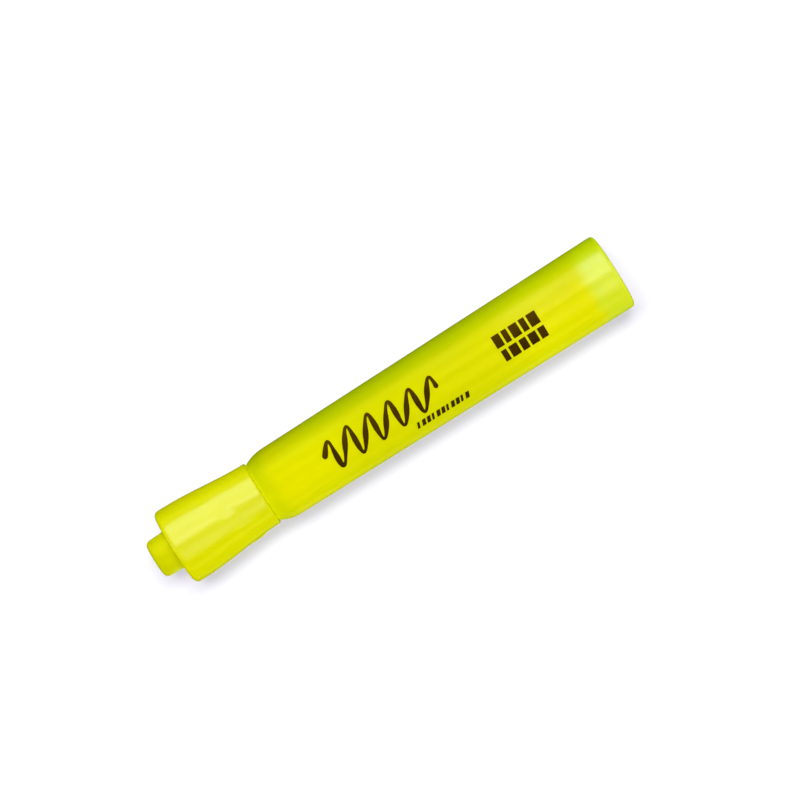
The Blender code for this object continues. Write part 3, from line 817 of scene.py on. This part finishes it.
def ribbon(work, path, half_width, across=5):
    """A stroke of ink with round ends along a path of (station, around) points.

    half_width(share) is half the stroke's width at a share of its length.
    """
    count = len(path)
    lengths = [0.0]
    for (x0, y0), (x1, y1) in zip(path, path[1:]):
        lengths.append(lengths[-1] + math.hypot(x1 - x0, y1 - y0))
    rows = []
    for i, (x, y) in enumerate(path):
        ahead, behind = path[min(i + 1, count - 1)], path[max(i - 1, 0)]
        run = Vector((ahead[0] - behind[0], ahead[1] - behind[1])).normalized()
        half = half_width(lengths[i] / lengths[-1])
        from_end = min(lengths[i], lengths[-1] - lengths[i])
        if from_end < half:
            half *= math.sqrt(max(0.02, 1 - (1 - from_end / half) ** 2))
        row = []
        for k in range(across):
            offset = half * (2 * k / (across - 1) - 1)
            row.append((x - run.y * offset, y + run.x * offset))
        rows.append(row)
    ink_grid(work, rows)


def slanted_bar(work, start, top, width, tall, slant, across=5, down=9):
    """A bar of ink whose top leans over by the slant. tall is its height round the barrel."""
    rows = []
    for i in range(down):
        share = i / (down - 1)
        left = start + slant * (1 - share)
        rows.append([(left + width * k / (across - 1), top + tall * share) for k in range(across)])
    ink_grid(work, rows)


def draw_wave(work):
    """A slanted pen stroke of five and a half waves. Its width swells twice in each wave."""
    start, length, waves, steps = 46.0 * MM, 30.4 * MM, 5.5, 420
    middle, tallest, shrink, lean = 1.1 * MM, 3.95 * MM, 0.8 * MM, 0.30
    path = []
    for i in range(steps):
        share = i / (steps - 1)
        tall = (tallest - shrink * share) * min(1.0, share * 9 + 0.35)
        around = middle - tall * math.sin(math.tau * waves * share)
        path.append((start + length * share - lean * around, around))

    def half_width(share):
        return (0.52 + 0.16 * math.sin(math.tau * waves * share * 2 + 0.8)) * MM

    ribbon(work, path, half_width)


def draw_ticks(work):
    """A row of small slanted ticks. Every third one is narrower."""
    start, step, top, tall, slant = 67.4 * MM, 1.30 * MM, 5.75 * MM, 1.85 * MM, 0.46 * MM
    wide, narrow = 0.95 * MM, 0.62 * MM
    for i in range(11):
        slanted_bar(work, start + i * step, top, wide if i % 3 else narrow, tall, slant)


def draw_bars(work):
    """Two rows of upright bars of mixed widths."""
    gap = 0.55
    # each row: its start, its top and its bars' height and widths, in millimetres
    rows = ((92.45, -2.12, 3.15, (2.0, 1.4, 2.2, 1.5, 2.4)),
            (92.7, 1.85, 2.9, (1.4, 2.2, 1.8, 2.1, 1.8)))
    for place, top, tall, widths in rows:
        for wide in widths:
            slanted_bar(work, place * MM, top * MM, wide * MM, tall * MM, 0.0)
            place += wide + gap


def make_print():
    """Generic print with no letters: a pen-stroke wave, a row of ticks and two rows of bars."""
    ink = print_ink()
    for name, draw in (("print_wave", draw_wave), ("print_ticks", draw_ticks), ("print_bars", draw_bars)):
        work = bmesh.new()
        draw(work)
        bmesh.ops.recalc_face_normals(work, faces=work.faces)
        dress(finished(name, work), ink, "barrel", "barrel_plastic")


# ---------------------------------------------------------------- stage

def make_floor():
    """A pale floor that glows a little, so that the pen's shadow on it stays light and neutral."""
    work = bmesh.new()
    bmesh.ops.create_grid(work, x_segments=1, y_segments=1, size=3.0)
    floor = finished("studio_floor", work)
    floor.location.z = -0.03 * MM  # just clear of the pen's underside
    s = Shader("studio_floor")
    floor.data.materials.append(s.finish(
        base_color=(0.35, 0.35, 0.35, 1.0), roughness=0.9, specular_ior_level=0.0,
        emission_color=(0.53, 0.515, 0.63, 1.0), emission_strength=1.0))
    floor.visible_glossy = False
    floor.visible_diffuse = False
    return floor


def linked(name, objects, state):
    """The set of objects that a light falls on: these only, or all but these."""
    group = bpy.data.collections.new(name)
    for obj in objects:
        group.objects.link(obj)
    for member in group.collection_objects:
        member.light_linking.link_state = state
    return group


def hang(name, light, tilt, turn, lights, diffuse, glossy):
    """Hangs a light a metre away, tilted from straight up towards +Y, then turned towards +X.

    lights is the set of objects that it falls on, or None for all. diffuse and glossy say whether
    surfaces show it as light on them and as a reflection.
    """
    holder = bpy.data.objects.new(name, light)
    tilt, turn = math.radians(tilt), math.radians(turn)
    away = Vector((math.sin(tilt) * math.sin(turn), math.sin(tilt) * math.cos(turn), math.cos(tilt)))
    holder.location = away + Vector((0, 0, AXIS_Z))
    holder.rotation_euler = away.to_track_quat("Z", "Y").to_euler()
    holder.visible_camera = False
    holder.visible_diffuse = diffuse
    holder.visible_glossy = glossy
    if lights:
        holder.light_linking.receiver_collection = lights
    bpy.context.scene.collection.objects.link(holder)


def panel(name, tilt, size, brightness, tint=(1.0, 1.0, 1.0), lights=None, turn=0, shadow=True,
          glossy=False):
    """A softbox that either lights the surfaces or, when glossy, only shows in their reflections.

    brightness is what a white matt surface that faces the softbox would send back.
    """
    light = bpy.data.lights.new(name, "AREA")
    light.shape = "RECTANGLE"
    light.size, light.size_y = size
    light.energy = brightness * math.pi ** 2
    light.color = tint
    light.use_shadow = shadow and not glossy
    hang(name, light, tilt, turn, lights, not glossy, glossy)


def light_floor(floor):
    """Two suns with soft edges, from behind left and behind right, which only the floor gets."""
    on_floor = linked("floor_only", [floor], "INCLUDE")
    for name, turn in (("floor_key_left", -33), ("floor_key_right", 33)):
        sun = bpy.data.lights.new(name, "SUN")
        sun.energy = 0.74 * math.pi
        sun.angle = math.radians(20)
        hang(name, sun, 17.5, turn, on_floor, True, False)


def light_pen(floor):
    """Softboxes round the pen, which light all but the floor. The cap's back gets one of its own."""
    on_pen = linked("all_but_floor", [floor], "EXCLUDE")
    cap_pieces = [bpy.data.objects[name] for name in ("cap_body", "cap_seal_tube", "clip_bar")]
    on_cap = linked("cap_only", cap_pieces, "INCLUDE")
    panel("key", 12, (0.40, 0.30), 0.275, lights=on_pen)
    panel("rear_end_fill", 85, (0.5, 0.5), 0.84, lights=on_pen, turn=90)
    panel("cap_end_fill", 82, (0.5, 0.5), 0.52, lights=on_pen, turn=-87, shadow=False)
    panel("back_fill", 52, (0.6, 0.4), 0.51, (0.77, 1.0, 0.8), lights=on_pen)
    panel("cap_back_fill", 90, (0.6, 0.4), 0.68, (1.0, 0.8, 0.1), lights=on_cap)
    panel("front_fill", -30, (0.6, 0.4), 0.42, (1.0, 0.8, 0.85), lights=on_pen)
    panel("low_fill", -80, (0.6, 0.3), 0.62, (0.78, 1.0, 0.15), lights=on_pen)
    panel("floor_bounce", -140, (0.8, 0.5), 0.82, lights=on_pen, shadow=False)
    panel("rear_floor_bounce", 160, (0.8, 0.5), 0.28, (0.85, 1.0, 0.8), lights=on_pen, shadow=False)


def add_reflections():
    """Softboxes that only show as reflections: the bands of light along the cap and the barrel."""
    panel("back_softbox", 37.4, (1.5, 1.31), 1.44, glossy=True)
    panel("back_softbox_core", 25, (1.5, 0.65), 0.171, glossy=True)
    panel("front_softbox", -23, (1.5, 1.02), 0.26, glossy=True)
    panel("rear_end_softbox", 70, (0.6, 0.4), 0.09, turn=90, glossy=True)
    panel("cap_end_softbox", 70, (0.6, 0.4), 0.05, turn=-90, glossy=True)


def make_air():
    """White surroundings that the camera sees, but that add no light and no reflections."""
    world = bpy.data.worlds.new("studio_air")
    bpy.context.scene.world = world  # before the visibility settings, which act on the scene's world
    world.use_nodes = True
    background = world.node_tree.nodes["Background"]
    background.inputs["Color"].default_value = (1.0, 1.0, 1.0, 1.0)
    background.inputs["Strength"].default_value = 1.0
    world.cycles_visibility.diffuse = False
    world.cycles_visibility.glossy = False
    bpy.context.scene.view_settings.view_transform = "Standard"


def make_camera():
    """Straight above the pen, turned so that the pen rises to the right."""
    height, rise = 0.9, math.radians(32.38)
    ahead, aside = 4.92 * MM, 1.13 * MM  # how far the view's middle is from the pen's
    lens = bpy.data.cameras.new("camera")
    lens.lens = 175.8
    lens.clip_start, lens.clip_end = 0.01, 20.0
    camera = bpy.data.objects.new("camera", lens)
    camera.location = (TIP_X + LENGTH / 2 + ahead, aside, AXIS_Z + height)
    camera.rotation_euler = (0, 0, -rise)
    bpy.context.scene.collection.objects.link(camera)
    bpy.context.scene.camera = camera


make_camera()
CAP_MATERIAL = cap_plastic()
make_barrel()
make_rear_plug()
make_reservoir()
make_nib_holder()
make_nib()
make_cap()
make_seal()
make_clip()
make_print()
STUDIO_FLOOR = make_floor()
light_floor(STUDIO_FLOOR)
light_pen(STUDIO_FLOOR)
add_reflections()
make_air()
